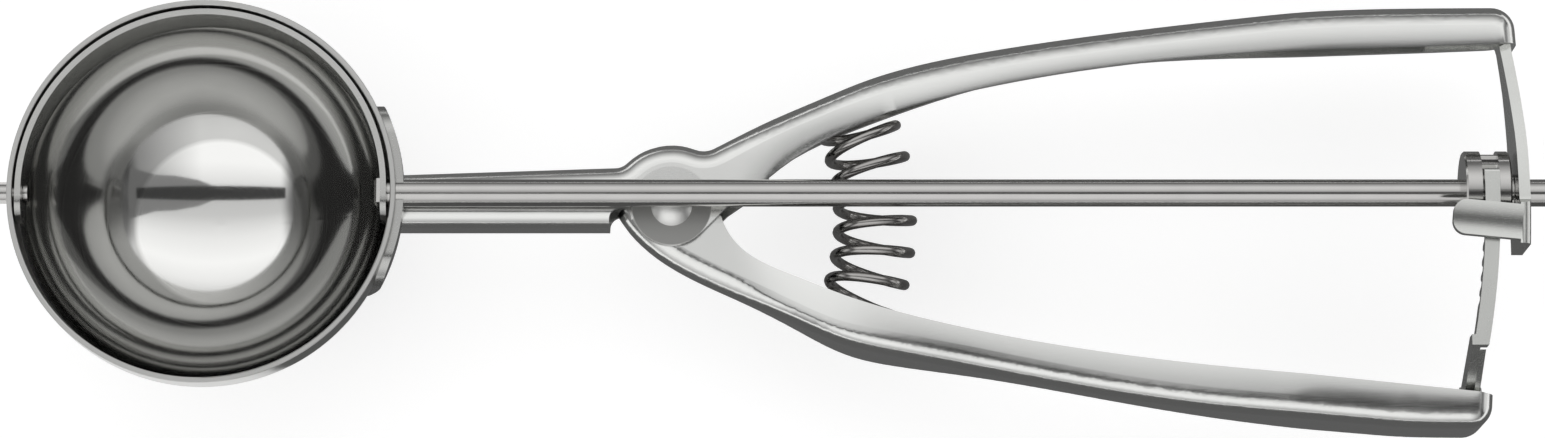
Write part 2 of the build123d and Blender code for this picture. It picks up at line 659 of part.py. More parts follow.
def make_rack_rivet():
    end = lug_x + LUG_SHEET
    left = cylinder_x(RACK_RIVET_HEAD, foot_x - RACK_RIVET_HEAD_HEIGHT, foot_x, *rack_rivet_at)
    right = cylinder_x(RACK_RIVET_HEAD, end, end + RACK_RIVET_HEAD_HEIGHT, *rack_rivet_at)
    shaft = cylinder_x(RACK_RIVET_RADIUS, foot_x, end, *rack_rivet_at)
    return (left + shaft + right).solids()[0]


# ---------------------------------------------------------------- end strap


def make_tab(face_x):
    """The guide tab, from its rounded left end to the bend at the strap's outer face."""
    half = TAB_HEIGHT / 2
    tab = polygon((-TAB_BEND, half), (-TAB_REACH, half), (-TAB_REACH, -half), (-TAB_BEND, -half))
    for corner in (half, -half):
        tab = rounded(tab, -TAB_REACH, corner, TAB_CORNER)
    tab = Pos(face_x, -TAB_TOP - half) * Rot(0, 0, -TAB_TILT) * tab
    return prism(tab, tab_front - TAB_SHEET, tab_front)


def make_strap(handle):
    """Curved strap welded under the upper lever's end, with the guide tab bent from it."""
    inner = STRAP_BEND - STRAP_SHEET / 2
    outer = STRAP_BEND + STRAP_SHEET / 2
    face_x = strap_x + STRAP_SHEET
    beside_tab = [(STRAP_REAR[-1][0], tab_front), (-TAB_TOP + TAB_RISE, tab_front)]
    side = prism_x(polygon(*beside_tab, *STRAP_FRONT, *STRAP_REAR), strap_x - BIG, strap_x + BIG)
    strap = ring_z(inner, outer, face_x - outer, 0) & side
    front = [edge for edge in strap.edges() if edge.center().Z > tab_front - 0.01]
    strap = fillet([edge for edge in front if edge.center().X > face_x - 0.2], TAB_BEND)
    strap = strap - cylinder_x(ROD_RADIUS + FIT, strap_x - 5, spindle_end)
    foot_top = STRAP_FRONT[-1][0]
    foot_middle = Pos(strap_x - STRAP_FOOT / 2, foot_top - STRAP_SHEET / 2, -HANDLE_DEPTH)
    foot = foot_middle * Box(STRAP_FOOT, STRAP_SHEET, STRAP_FOOT_WIDTH)
    strap = strap + foot - handle
    return (strap.solids().sort_by(SortBy.VOLUME)[-1] + make_tab(face_x)).solids()[0]


# ---------------------------------------------------------------- spring


def spring_point(turn, total):
    """Middle of the wire after so many turns, on a torus-shaped coil."""
    closed = CLOSED_TURNS * CLOSED_PITCH
    open_pitch = (SPRING_LENGTH - 2 * closed) / (total - 2 * CLOSED_TURNS)
    along = min(turn, CLOSED_TURNS) * CLOSED_PITCH
    along += max(0, min(turn, total - CLOSED_TURNS) - CLOSED_TURNS) * open_pitch
    along += max(0, turn - total + CLOSED_TURNS) * CLOSED_PITCH
    angle = (along - SPRING_LENGTH / 2) / SPRING_BEND
    round_coil = math.radians(SPRING_PHASE) + 2 * math.pi * turn
    distance = SPRING_BEND + SPRING_RADIUS * math.cos(round_coil)
    middle_x, middle_y = from_pivot(*SPRING_MIDDLE)
    x = middle_x - SPRING_BEND + distance * math.cos(angle)
    y = middle_y + distance * math.sin(angle)
    return (x, y, -HANDLE_DEPTH + SPRING_RADIUS * math.sin(round_coil))


def make_spring():
    steps = round(SPRING_TURNS * POINTS_PER_TURN)
    points = [spring_point(SPRING_TURNS * i / steps, SPRING_TURNS) for i in range(steps + 1)]
    wire = Spline(*points)
    start = Plane(wire @ 0, z_dir=wire % 0)
    return sweep(start * Circle(WIRE_RADIUS), path=wire, is_frenet=True).solids()[0]


if __name__ == "__main__":
    os.makedirs("parts", exist_ok=True)
    handle = make_handle(half_ball(saddle_radius, 0))
    lever = make_squeeze_lever()
    node("bowl", make_bowl())
    node("bowl_saddle", make_saddle())
    node("handle_frame", handle)
    node("squeeze_lever", lever)
    node("pivot_rivet", make_rivet())
    node("pivot_bush", make_bush())
    node("spindle_rod", make_rod())
    node("scraper_blade", make_scraper())
    node("scraper_pin", make_pin())
    node("pinion_barrel", make_barrel())
    node("rack", make_rack())
    node("rack_lug", make_lug(lever))
    node("rack_rivet", make_rack_rivet())
    node("end_strap", make_strap(handle))
    node("return_spring", make_spring())
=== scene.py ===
"""Lever ice cream scoop: finishes, domed sheet, return spring, studio and camera."""

import math

import bmesh
import bpy
import numpy as np
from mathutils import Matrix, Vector


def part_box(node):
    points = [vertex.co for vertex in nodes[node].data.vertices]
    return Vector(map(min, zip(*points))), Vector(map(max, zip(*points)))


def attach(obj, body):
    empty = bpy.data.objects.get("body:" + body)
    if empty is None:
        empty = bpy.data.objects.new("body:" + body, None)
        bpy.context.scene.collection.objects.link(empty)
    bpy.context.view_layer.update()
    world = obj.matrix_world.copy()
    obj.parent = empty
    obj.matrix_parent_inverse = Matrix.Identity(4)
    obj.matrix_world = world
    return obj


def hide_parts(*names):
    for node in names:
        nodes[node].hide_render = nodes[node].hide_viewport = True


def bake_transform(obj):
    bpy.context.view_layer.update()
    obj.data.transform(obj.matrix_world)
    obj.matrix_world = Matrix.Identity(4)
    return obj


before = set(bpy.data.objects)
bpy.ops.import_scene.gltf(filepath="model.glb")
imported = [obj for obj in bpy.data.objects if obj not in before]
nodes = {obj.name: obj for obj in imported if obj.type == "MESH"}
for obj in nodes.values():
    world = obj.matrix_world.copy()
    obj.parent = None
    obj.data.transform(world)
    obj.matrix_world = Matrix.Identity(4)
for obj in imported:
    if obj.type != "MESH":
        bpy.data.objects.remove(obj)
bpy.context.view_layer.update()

MM = 0.001

# places and sizes shared with the solids, in millimetres
PIVOT = (67.0, -1.1)
SPINDLE_DEPTH = 2.5  # under the rim
LEVER_DEPTH = 11.0  # middle plane of both levers under the rim
EAR_RADIUS = 5.75
LOWEST = 30.25  # bottom of the bowl under the rim

# ---------------------------------------------------------------- node helpers


def linear(colour):
    """An sRGB hex colour as linear RGBA."""
    channels = [int(colour[i : i + 2], 16) / 255 for i in (1, 3, 5)]
    flat = [c / 12.92 if c <= 0.04045 else ((c + 0.055) / 1.055) ** 2.4 for c in channels]
    return (*flat, 1.0)


def add(tree, kind, settings=None, links=None, **properties):
    """A node with its properties, its inputs' settings and its inputs' links."""
    node = tree.nodes.new(kind)
    for name, value in properties.items():
        setattr(node, name, value)
    for name, value in (settings or {}).items():
        node.inputs[name].default_value = value
    for name, socket in (links or {}).items():
        tree.links.new(socket, node.inputs[name])
    return node


def new_material(name):
    """An empty node material and its tree."""
    material = bpy.data.materials.new(name)
    material.use_nodes = True
    material.node_tree.nodes.clear()
    return material, material.node_tree


# ---------------------------------------------------------------- finishes

NOISE_RANGE = {"From Min": 0.3, "From Max": 0.7}  # where most of a noise's values lie
RINGS_PER_MM = 4.5


def drawn_lines(tree, across, along):
    """Fine lines along X, across and along in mm per feature."""
    place = add(tree, "ShaderNodeTexCoord")
    scaled = add(
        tree,
        "ShaderNodeMapping",
        {"Scale": (1 / (along * MM), 1 / (across * MM), 1 / (across * MM))},
        {"Vector": place.outputs["Object"]},
    )
    lines = add(
        tree,
        "ShaderNodeTexNoise",
        {"Scale": 1.0, "Detail": 3.0, "Roughness": 0.6},
        {"Vector": scaled.outputs["Vector"]},
    )
    return lines.outputs["Fac"]


def soft_blotches(tree, size, detail=2.0):
    """Faint unevenness of size mm: broad where polishing left it, fine where it is the grain."""
    place = add(tree, "ShaderNodeTexCoord")
    blotches = add(
        tree,
        "ShaderNodeTexNoise",
        {"Scale": 1 / (size * MM), "Detail": detail, "Roughness": 0.5},
        {"Vector": place.outputs["Object"]},
    )
    return blotches.outputs["Fac"]


def finish_metal(tree, colour, roughness, grain, strength, depth=0.02):
    """The metal's shader: colour, roughness and grain are sockets, and depth is in mm."""
    relief = add(
        tree,
        "ShaderNodeBump",
        {"Strength": strength, "Distance": depth * MM},
        {"Height": grain},
    )
    shader = add(
        tree,
        "ShaderNodeBsdfPrincipled",
        {"Metallic": 1.0},
        {"Roughness": roughness, "Normal": relief.outputs["Normal"], "Base Color": colour},
    )
    add(tree, "ShaderNodeOutputMaterial", links={"Surface": shader.outputs["BSDF"]})


def mottled_metal(tree, grain, blotches, roughness, shades, strength):
    """A metal as rough as its grain says, in two shades that its blotches mix."""
    rough = add(
        tree,
        "ShaderNodeMapRange",
        {**NOISE_RANGE, "To Min": roughness[0], "To Max": roughness[1]},
        {"Value": grain},
    )
    colour = add(
        tree,
        "ShaderNodeMix",
        {"A": linear(shades[0]), "B": linear(shades[1])},
        {"Factor": blotches},
        data_type="RGBA",
    )
    finish_metal(tree, colour.outputs["Result"], rough.outputs["Result"], grain, strength)


def satin_lever_steel():
    """Pressed 18/8 stainless sheet, belt polished along the lever: soft, slightly streaked gloss.

    The belt's lines are finer than 0.1 mm, and are drawn a little coarser to show. A flat ear
    escapes the belt, which leaves a matte disc round the pivot. Over the pivot, where the disc
    runs into the upper lever, it fades."""
    material, tree = new_material("satin_lever_steel")
    streaks = drawn_lines(tree, 0.12, 6.0)
    blotches = soft_blotches(tree, 9.0)
    streak_rough = add(
        tree,
        "ShaderNodeMapRange",
        {**NOISE_RANGE, "To Min": 0.12, "To Max": 0.2},
        {"Value": streaks},
    )
    blotch_rough = add(
        tree,
        "ShaderNodeMapRange",
        {**NOISE_RANGE, "To Min": 0.0, "To Max": 0.05},
        {"Value": blotches},
    )
    polish = add(
        tree,
        "ShaderNodeMath",
        links={0: streak_rough.outputs["Result"], 1: blotch_rough.outputs["Result"]},
        operation="ADD",
    )
    sheet = add(
        tree,
        "ShaderNodeMix",
        {"A": linear("#dfe0de"), "B": linear("#e7e7e5")},
        {"Factor": blotches},
        data_type="RGBA",
    )
    place = add(tree, "ShaderNodeTexCoord")
    from_pivot = add(
        tree,
        "ShaderNodeMapping",
        {"Location": (-PIVOT[0] * MM, -PIVOT[1] * MM, 0.0), "Scale": (1.0, 1.0, 0.0)},
        {"Vector": place.outputs["Object"]},
    )
    radius = add(
        tree,
        "ShaderNodeVectorMath",
        links={0: from_pivot.outputs["Vector"]},
        operation="LENGTH",
    )
    disc = add(
        tree,
        "ShaderNodeMapRange",
        {
            "From Min": (EAR_RADIUS - 0.12) * MM,
            "From Max": (EAR_RADIUS + 0.05) * MM,
            "To Min": 1.0,
            "To Max": 0.0,
        },
        {"Value": radius.outputs["Value"]},
    )
    split = add(tree, "ShaderNodeSeparateXYZ", links={"Vector": from_pivot.outputs["Vector"]})
    below = add(
        tree,
        "ShaderNodeMapRange",
        {"From Min": 0.5 * MM, "From Max": 4.0 * MM, "To Min": 1.0, "To Max": 0.25},
        {"Value": split.outputs["Y"]},
    )
    matte = add(
        tree,
        "ShaderNodeMath",
        links={0: disc.outputs["Result"], 1: below.outputs["Result"]},
        operation="MULTIPLY",
    )
    rough = add(
        tree,
        "ShaderNodeMix",
        {"B": 0.5},
        {"Factor": matte.outputs["Value"], "A": polish.outputs["Value"]},
    )
    colour = add(
        tree,
        "ShaderNodeMix",
        {"B": linear("#a6a6a4")},
        {"Factor": matte.outputs["Value"], "A": sheet.outputs["Result"]},
        data_type="RGBA",
    )
    finish_metal(tree, colour.outputs["Result"], rough.outputs["Result"], streaks, 0.05)
    return material


def polished_bowl_steel():
    """Deep-drawn stainless bowl, spun bright inside: a mirror with faint rings about its axis.

    The scraper has scoured its upper part and the cut rim is duller. Its middle, within about 12
    mm of
    the axis, is painted brightest: a painted highlight standing in for the reflection of the light
    overhead. The rings are drawn 0.2 mm apart, coarser than a spinning tool leaves them, to show."""
    material, tree = new_material("polished_bowl_steel")
    place = add(tree, "ShaderNodeTexCoord")
    split = add(tree, "ShaderNodeSeparateXYZ", links={"Vector": place.outputs["Object"]})
    flat = add(
        tree,
        "ShaderNodeCombineXYZ",
        links={"X": split.outputs["X"], "Y": split.outputs["Y"]},
    )
    radius = add(
        tree,
        "ShaderNodeVectorMath",
        links={0: flat.outputs["Vector"]},
        operation="LENGTH",
    )
    rings = add(
        tree,
        "ShaderNodeTexNoise",
        {"Scale": RINGS_PER_MM / MM, "Detail": 2.0},
        {"W": radius.outputs["Value"]},
        noise_dimensions="1D",
    )
    spun = add(
        tree,
        "ShaderNodeMapRange",
        {**NOISE_RANGE, "To Min": 0.05, "To Max": 0.1},
        {"Value": rings.outputs["Fac"]},
    )
    scoured = add(
        tree,
        "ShaderNodeMapRange",
        {"From Min": -10.0 * MM, "From Max": -5.0 * MM, "To Min": 0.0, "To Max": 0.22},
        {"Value": split.outputs["Z"]},
    )
    wall_rough = add(
        tree,
        "ShaderNodeMath",
        links={0: spun.outputs["Result"], 1: scoured.outputs["Result"]},
        operation="ADD",
    )
    rim = add(
        tree,
        "ShaderNodeMapRange",
        {"From Min": -0.25 * MM, "From Max": -0.15 * MM, "To Min": 0.0, "To Max": 1.0},
        {"Value": split.outputs["Z"]},
    )
    rough = add(
        tree,
        "ShaderNodeMix",
        {"B": 0.34},
        {"Factor": rim.outputs["Result"], "A": wall_rough.outputs["Value"]},
    )
    wall = add(
        tree,
        "ShaderNodeMix",
        {"A": linear("#c2c2c0"), "B": linear("#cbcbc9")},
        {"Factor": soft_blotches(tree, 7.0)},
        data_type="RGBA",
    )
    # painted highlight: near the axis the colour is lifted to near white, for the reflection of
    # the light overhead
    painted_middle_highlight = add(
        tree,
        "ShaderNodeMapRange",
        {"From Min": 11.9 * MM, "From Max": 12.6 * MM, "To Min": 1.0, "To Max": 0.0},
        {"Value": radius.outputs["Value"]},
    )
    colour = add(
        tree,
        "ShaderNodeMix",
        {"B": linear("#f0f0ee")},
        {"Factor": painted_middle_highlight.outputs["Result"], "A": wall.outputs["Result"]},
        data_type="RGBA",
    )
    finish_metal(
        tree, colour.outputs["Result"], rough.outputs["Result"], rings.outputs["Fac"], 0.03, 0.01
    )
    return material


def bright_drawn_bar():
    """Cold-drawn stainless bar: bright, with die lines along its length.

    Real die lines are finer than the 0.1 mm that they are drawn at to show."""
    material, tree = new_material("bright_drawn_bar")
    lines, blotches = drawn_lines(tree, 0.1, 20.0), soft_blotches(tree, 6.0)
    mottled_metal(tree, lines, blotches, (0.1, 0.18), ("#bdbcba", "#c8c7c5"), 0.06)
    return material


def peened_rivet_steel():
    """Stainless rivet, its domes left satin by the tool that formed them."""
    material, tree = new_material("peened_rivet_steel")
    grain, blotches = soft_blotches(tree, 0.25, 3.0), soft_blotches(tree, 3.0)
    mottled_metal(tree, grain, blotches, (0.32, 0.42), ("#e6e6e4", "#efefed"), 0.08)
    return material


def rolled_strip_steel(name, shades):
    """Cold-rolled stainless strip, blanked and bent: finely grained, a little duller.

    The rolls' grain is about 0.02 mm, and is drawn at 0.12 mm to show."""
    material, tree = new_material(name)
    grain, blotches = soft_blotches(tree, 0.12, 3.0), soft_blotches(tree, 5.0)
    mottled_metal(tree, grain, blotches, (0.18, 0.28), shades, 0.08)
    return material


def spring_wire_steel():
    """Hard-drawn spring wire, tumbled after coiling: dark and glossy."""
    material, tree = new_material("spring_wire_steel")
    grain, blotches = soft_blotches(tree, 0.3, 3.0), soft_blotches(tree, 4.0)
    mottled_metal(tree, grain, blotches, (0.1, 0.2), ("#a3a19f", "#b6b4b2"), 0.05)
    return material


lever_steel = satin_lever_steel()
bowl_steel = polished_bowl_steel()
bar_steel = bright_drawn_bar()
strip_steel = rolled_strip_steel("rolled_strip_steel", ("#cdcecb", "#d8d9d6"))
# the scraper and the saddle have gone greyer from washing
washed_steel = rolled_strip_steel("washed_strip_steel", ("#b2b2b0", "#bfbfbd"))
wire_steel = spring_wire_steel()
rivet_steel = peened_rivet_steel()

FINISHES = {
    "bowl": bowl_steel,
    "bowl_saddle": washed_steel,
    "handle_frame": lever_steel,
    "squeeze_lever": lever_steel,
    "pivot_rivet": rivet_steel,
    "pivot_bush": bar_steel,
    "spindle_rod": bar_steel,
    "scraper_blade": washed_steel,
    "scraper_pin": bar_steel,
    "pinion_barrel": bar_steel,
    "rack": strip_steel,
    "rack_lug": strip_steel,
    "rack_rivet": rivet_steel,
    "end_strap": strip_steel,
    "return_spring": wire_steel,
}
for name, material in FINISHES.items():
    slots = nodes[name].data.materials
    slots.clear()
    slots.append(material)

# ---------------------------------------------------------------- domed sheet

CUT_SPACING = 1.5  # mm between the sections that a lever's walls are divided into
CROWN_START = (7.5, 16.0)  # mm past the pivot, where the crown begins and where it is full
END_MARGIN = 1.0  # mm before a lever's end, where its last section is read
ON_SECTION = 2e-3  # mm either side of a section
SMOOTHED = 5  # sections that the slope of a lever's back is averaged over
MOSTLY = 0.9  # share of a normal that counts as nearly all of it
SLIGHT = 0.02  # share of a normal that counts as none
EDGE_SHARE = 0.4  # how much of the further lean reaches a wall's free edge
CORNER_FADE = math.radians(35)  # where the further lean has died out round a corner

# how far the outside leans towards the lever's back, in degrees: at the wall's free edge, then
# round the corner, for each angle that a plain round corner would have there, and how much
# further it leans along the lever, by X in mm
UPPER_CROWN = {
    "free_edge": -9,
    "corner": [(0, 6), (6, 13), (12, 20), (20, 27), (28, 33), (34, 42), (50, 58), (90, 90)],
    "further": [(0, 0)],
}
LOWER_CROWN = {
    "free_edge": -4,
    "corner": [
        (0, 1),
        (13, 5),
        (20, 9),
        (26, 13),
        (34, 27),
        (43, 44),
        (53, 58),
        (66, 74),
        (90, 90),
    ],
    "further": [(112, 0), (150, 5.0), (172, 6.5), (190, 6.5)],
}
TAB_TILT = math.radians(5.5)  # how much lower the guide tab is at the strap than at its round end
TAB_LEAN = (26.0, -6.0)  # how far its front leans down, in degrees, at its lower and upper edges
# how far the strap's front edge leans up, in degrees, by height over the spindle
STRAP_LEAN = [(-2, 4), (1, 6), (6, 10), (12, 14), (18, 16), (23, 12), (26, 4)]


def divided_copy(name, node, stations=()):
    """A merged copy of a node, divided across X at the stations, with the solid's own normals."""
    mesh = nodes[node].data.copy()
    mesh.name = name
    normals = np.empty(len(mesh.loops) * 3, np.float32)
    mesh.corner_normals.foreach_get("vector", normals)
    stored = mesh.attributes.new("solid_normal", "FLOAT_VECTOR", "CORNER")
    stored.data.foreach_set("vector", normals)
    work = bmesh.new()
    work.from_mesh(mesh)
    bmesh.ops.remove_doubles(work, verts=work.verts, dist=1e-6)
    for station in stations:
        everything = [*work.verts, *work.edges, *work.faces]
        bmesh.ops.bisect_plane(
            work, geom=everything, dist=1e-6, plane_co=(station * MM, 0, 0), plane_no=(1, 0, 0)
        )
    bmesh.ops.triangulate(work, faces=work.faces)
    work.to_mesh(mesh)
    work.free()
    piece = bpy.data.objects.new(name, mesh)
    bpy.context.scene.collection.objects.link(piece)
    return piece


def corners_of(mesh):
    """Places in mm and the solid's normals of all face corners."""
    index = np.empty(len(mesh.loops), int)
    mesh.loops.foreach_get("vertex_index", index)
    places = np.empty(len(mesh.vertices) * 3, np.float32)
    mesh.vertices.foreach_get("co", places)
    normals = np.empty(len(mesh.loops) * 3, np.float32)
    mesh.attributes["solid_normal"].data.foreach_get("vector", normals)
    normals = normals.reshape(-1, 3)
    return places.reshape(-1, 3)[index] / MM, normals / np.linalg.norm(normals, axis=1)[:, None]


def set_normals(mesh, normals):
    """Shade the mesh by these normals of its face corners."""
    normals /= np.linalg.norm(normals, axis=1)[:, None]
    mesh.attributes.remove(mesh.attributes["solid_normal"])
    mesh.shade_smooth()
    mesh.normals_split_custom_set(normals.tolist())


def dome_strap(piece):
    """Turn the normals of the guide tab's front and of the strap's front edge, so that both shade
    as slightly domed."""
    places, normals = corners_of(piece.data)
    x, y, z = places.T
    tab = (normals[:, 2] > 0.99) & (z > z.max() - 0.01) & (y < 0)
    height = (x - x.max()) * math.sin(TAB_TILT) + y * math.cos(TAB_TILT)
    lean = np.radians(np.interp(height, (height[tab].min(), height[tab].max()), TAB_LEAN))
    down = np.sin(lean)
    domed = [-math.sin(TAB_TILT) * down, -math.cos(TAB_TILT) * down, np.cos(lean)]
    new = np.where(tab[:, None], np.stack(domed, axis=1), normals)
    edge = (normals[:, 2] > 0.5) & (np.abs(normals[:, 0]) < 0.05) & (y > STRAP_LEAN[0][0])
    swept = np.radians(np.interp(y, *np.array(STRAP_LEAN).T))
    rounded = np.stack([np.zeros(len(x)), np.sin(swept), np.cos(swept)], axis=1)
    set_normals(piece.data, np.where(edge[:, None], rounded, new))


def crown(piece, side, stations, free_edge, corner, further):
    """Turn the walls' normals so that flat walls shade as the slightly domed ones of a pressing.

    side is +1 where the lever's back faces +Y, and -1 where it faces -Y."""
    places, normals = corners_of(piece.data)
    x, y, z = places.T
    upright = np.abs(normals[:, 2])
    outer = (z + LEVER_DEPTH) * normals[:, 2] > 0
    wall = outer & (upright > MOSTLY) & (np.abs(normals[:, 1]) < SLIGHT)

    # the wall's free edge and its bend into the back, at each section that has one
    rows = []
    for station in stations:
        section = y[wall & (np.abs(x - station) < ON_SECTION)] * side
        if len(section):
            rows.append((station, section.min(), section.max()))
    stations, free, bend = np.array(rows).T
    spread = np.pad(bend, SMOOTHED // 2, "edge")
    smoothed = np.convolve(spread, np.ones(SMOOTHED) / SMOOTHED, "valid")
    slope = np.interp(x, stations, np.gradient(smoothed, stations) * side)
    length = np.hypot(1, slope)
    across_x, across_y = -side * slope / length, side / length
    free, bend = np.interp(x, stations, free), np.interp(x, stations, bend)
    depth = (y * side - free) / (bend - free)
    begun = np.clip((x - PIVOT[0] - CROWN_START[0]) / (CROWN_START[1] - CROWN_START[0]), 0, 1)
    weight = begun * begun * (3 - 2 * begun)

    # each normal's lean across the lever, now and as the crown has it
    lean = normals[:, 0] * across_x + normals[:, 1] * across_y
    turning = lean**2 + upright**2
    rounded = outer & ~wall & (lean > -SLIGHT) & (turning > MOSTLY) & (upright > SLIGHT)
    old = np.arctan2(lean, upright)
    plain, domed = np.radians(corner).T
    edge_lean = math.radians(free_edge)
    extra = np.radians(np.interp(x, *np.array(further).T))
    on_wall = edge_lean + (domed[0] - edge_lean) * np.clip(depth, 0, 1)
    on_wall += extra * (EDGE_SHARE + (1 - EDGE_SHARE) * depth)
    on_corner = np.interp(old, plain, domed) + extra * np.clip(1 - old / CORNER_FADE, 0, 1)
    change = (np.where(wall, on_wall, on_corner) - old) * weight
    change = np.where(wall | rounded, change, 0.0)

    size = np.sqrt(np.maximum(turning, 1e-9))
    leaning = size * np.sin(old + change)
    crowned = [
        normals[:, 0] + (leaning - lean) * across_x,
        normals[:, 1] + (leaning - lean) * across_y,
        size * np.cos(old + change) * np.sign(normals[:, 2]),
    ]
    new = np.where((wall | rounded)[:, None], np.stack(crowned, axis=1), normals)
    set_normals(piece.data, new)


for name, node, body, side, leans in (
    ("handle_pressing", "handle_frame", "frame", 1, UPPER_CROWN),
    ("squeeze_pressing", "squeeze_lever", "lever", -1, LOWER_CROWN),
):
    lever_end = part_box(node)[1].x / MM
    cuts = np.arange(PIVOT[0] + CROWN_START[0], lever_end, CUT_SPACING)
    skin = divided_copy(name, node, cuts)
    crown(skin, side, cuts[cuts < lever_end - END_MARGIN], **leans)
    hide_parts(node)
    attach(skin, body)

guide_strap = divided_copy("guide_strap", "end_strap")
dome_strap(guide_strap)
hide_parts("end_strap")
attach(guide_strap, "frame")

# ---------------------------------------------------------------- return spring

# millimetres, and angles in radians: the coil is bent round an arc, from seat to seat
WIRE_RADIUS = 0.75
COIL_RADIUS = 5.35
SPRING_BEND = 37.0
SPRING_HALF_ANGLE = 32.8 / SPRING_BEND / 2
SPRING_MIDDLE = (PIVOT[0] + 29.3, PIVOT[1] - 1.15)
TURNS = 9.0
CLOSED_TURNS = 0.9  # at each end
CLOSED_PITCH = 1.6
COIL_PHASE = math.radians(160.0)
WIRE_SIDES = 20
STEPS_PER_TURN = 32


def spring_tree():
    """Geometry nodes: a spiral with closed ends, bent round an arc, swept with round wire."""
    tree = bpy.data.node_groups.new("bent_coil_spring", "GeometryNodeTree")
    socket = tree.interface.new_socket
    socket("Geometry", in_out="OUTPUT", socket_type="NodeSocketGeometry")
    for kind, names in (
        ("Float", ("Wire Radius", "Coil Radius", "Bend Radius", "Half Angle", "Phase")),
        ("Float", ("Turns", "Closed Turns", "Closed Pitch")),
        ("Vector", ("Middle",)),
        ("Material", ("Wire",)),
    ):
        for name in names:
            socket(name, in_out="INPUT", socket_type=f"NodeSocket{kind}")
    size = add(tree, "NodeGroupInput").outputs
    calculate, spread = "ShaderNodeMath", "ShaderNodeMapRange"

    # a straight spiral of radius 1, whose height counts its turns
    spiral = add(
        tree,
        "GeometryNodeCurveSpiral",
        {"Resolution": STEPS_PER_TURN, "Start Radius": 1.0, "End Radius": 1.0},
        {"Rotations": size["Turns"], "Height": size["Turns"]},
    )
    place = add(tree, "GeometryNodeInputPosition").outputs["Position"]
    turn = add(tree, "ShaderNodeSeparateXYZ", links={"Vector": place}).outputs["Z"]

    # length along the arc at each turn: closed at one end, open, closed at the other
    open_end = add(
        tree,
        calculate,
        links={0: size["Turns"], 1: size["Closed Turns"]},
        operation="SUBTRACT",
    )
    closed = add(
        tree,
        calculate,
        links={0: size["Closed Turns"], 1: size["Closed Pitch"]},
        operation="MULTIPLY",
    )
    whole_angle = add(tree, calculate, {1: 2.0}, {0: size["Half Angle"]}, operation="MULTIPLY")
    arc = add(
        tree,
        calculate,
        links={0: whole_angle.outputs[0], 1: size["Bend Radius"]},
        operation="MULTIPLY",
    )
    arc_end = add(
        tree,
        calculate,
        links={0: arc.outputs[0], 1: closed.outputs[0]},
        operation="SUBTRACT",
    )
    open_length = add(
        tree,
        calculate,
        links={0: arc_end.outputs[0], 1: closed.outputs[0]},
        operation="SUBTRACT",
    )
    lower = add(
        tree,
        spread,
        {"From Min": 0.0, "To Min": 0.0},
        {"Value": turn, "From Max": size["Closed Turns"], "To Max": closed.outputs[0]},
    )
    middle = add(
        tree,
        spread,
        {"To Min": 0.0},
        {
            "Value": turn,
            "From Min": size["Closed Turns"],
            "From Max": open_end.outputs[0],
            "To Max": open_length.outputs[0],
        },
    )
    upper = add(
        tree,
        spread,
        {"To Min": 0.0},
        {
            "Value": turn,
            "From Min": open_end.outputs[0],
            "From Max": size["Turns"],
            "To Max": closed.outputs[0],
        },
    )
    partial = add(
        tree,
        calculate,
        links={0: lower.outputs["Result"], 1: middle.outputs["Result"]},
        operation="ADD",
    )
    along = add(
        tree,
        calculate,
        links={0: partial.outputs[0], 1: upper.outputs["Result"]},
        operation="ADD",
    )
    swing = add(
        tree,
        calculate,
        links={0: along.outputs[0], 1: size["Bend Radius"]},
        operation="DIVIDE",
    )
    angle = add(
        tree,
        calculate,
        links={0: swing.outputs[0], 1: size["Half Angle"]},
        operation="SUBTRACT",
    )

    # the coil's round, stood on the arc and swung to its place along it
    started = add(
        tree,
        "ShaderNodeVectorRotate",
        links={"Vector": place, "Angle": size["Phase"]},
        rotation_type="Z_AXIS",
    )
    round_coil = add(tree, "ShaderNodeSeparateXYZ", links={"Vector": started.outputs["Vector"]})
    reach = add(
        tree,
        calculate,
        links={0: round_coil.outputs["X"], 1: size["Coil Radius"], 2: size["Bend Radius"]},
        operation="MULTIPLY_ADD",
    )
    height = add(
        tree,
        calculate,
        links={0: round_coil.outputs["Y"], 1: size["Coil Radius"]},
        operation="MULTIPLY",
    )
    upright = add(
        tree, "ShaderNodeCombineXYZ", links={"X": reach.outputs[0], "Z": height.outputs[0]}
    )
    bent = add(
        tree,
        "ShaderNodeVectorRotate",
        links={"Vector": upright.outputs["Vector"], "Angle": angle.outputs[0]},
        rotation_type="Z_AXIS",
    )
    arc_middle = add(tree, "ShaderNodeCombineXYZ", links={"X": size["Bend Radius"]})
    centred = add(
        tree,
        "ShaderNodeVectorMath",
        links={0: bent.outputs["Vector"], 1: arc_middle.outputs["Vector"]},
        operation="SUBTRACT",
    )
    placed = add(
        tree,
        "ShaderNodeVectorMath",
        links={0: centred.outputs["Vector"], 1: size["Middle"]},
        operation="ADD",
    )
    coil = add(
        tree,
        "GeometryNodeSetPosition",
        links={"Geometry": spiral.outputs["Curve"], "Position": placed.outputs["Vector"]},
    )

    # round wire swept along it
    section = add(
        tree,
        "GeometryNodeCurvePrimitiveCircle",
        {"Resolution": WIRE_SIDES},
        {"Radius": size["Wire Radius"]},
    )
    wire = add(
        tree,
        "GeometryNodeCurveToMesh",
        {"Fill Caps": True},
        {"Curve": coil.outputs["Geometry"], "Profile Curve": section.outputs["Curve"]},
    )
    smooth = add(tree, "GeometryNodeSetShadeSmooth", links={"Geometry": wire.outputs["Mesh"]})
    real = add(
        tree, "GeometryNodeRealizeInstances", links={"Geometry": smooth.outputs["Geometry"]}
    )
    finished = add(
        tree,
        "GeometryNodeSetMaterial",
        links={"Geometry": real.outputs["Geometry"], "Material": size["Wire"]},
    )
    add(tree, "NodeGroupOutput", links={"Geometry": finished.outputs["Geometry"]})
    return tree


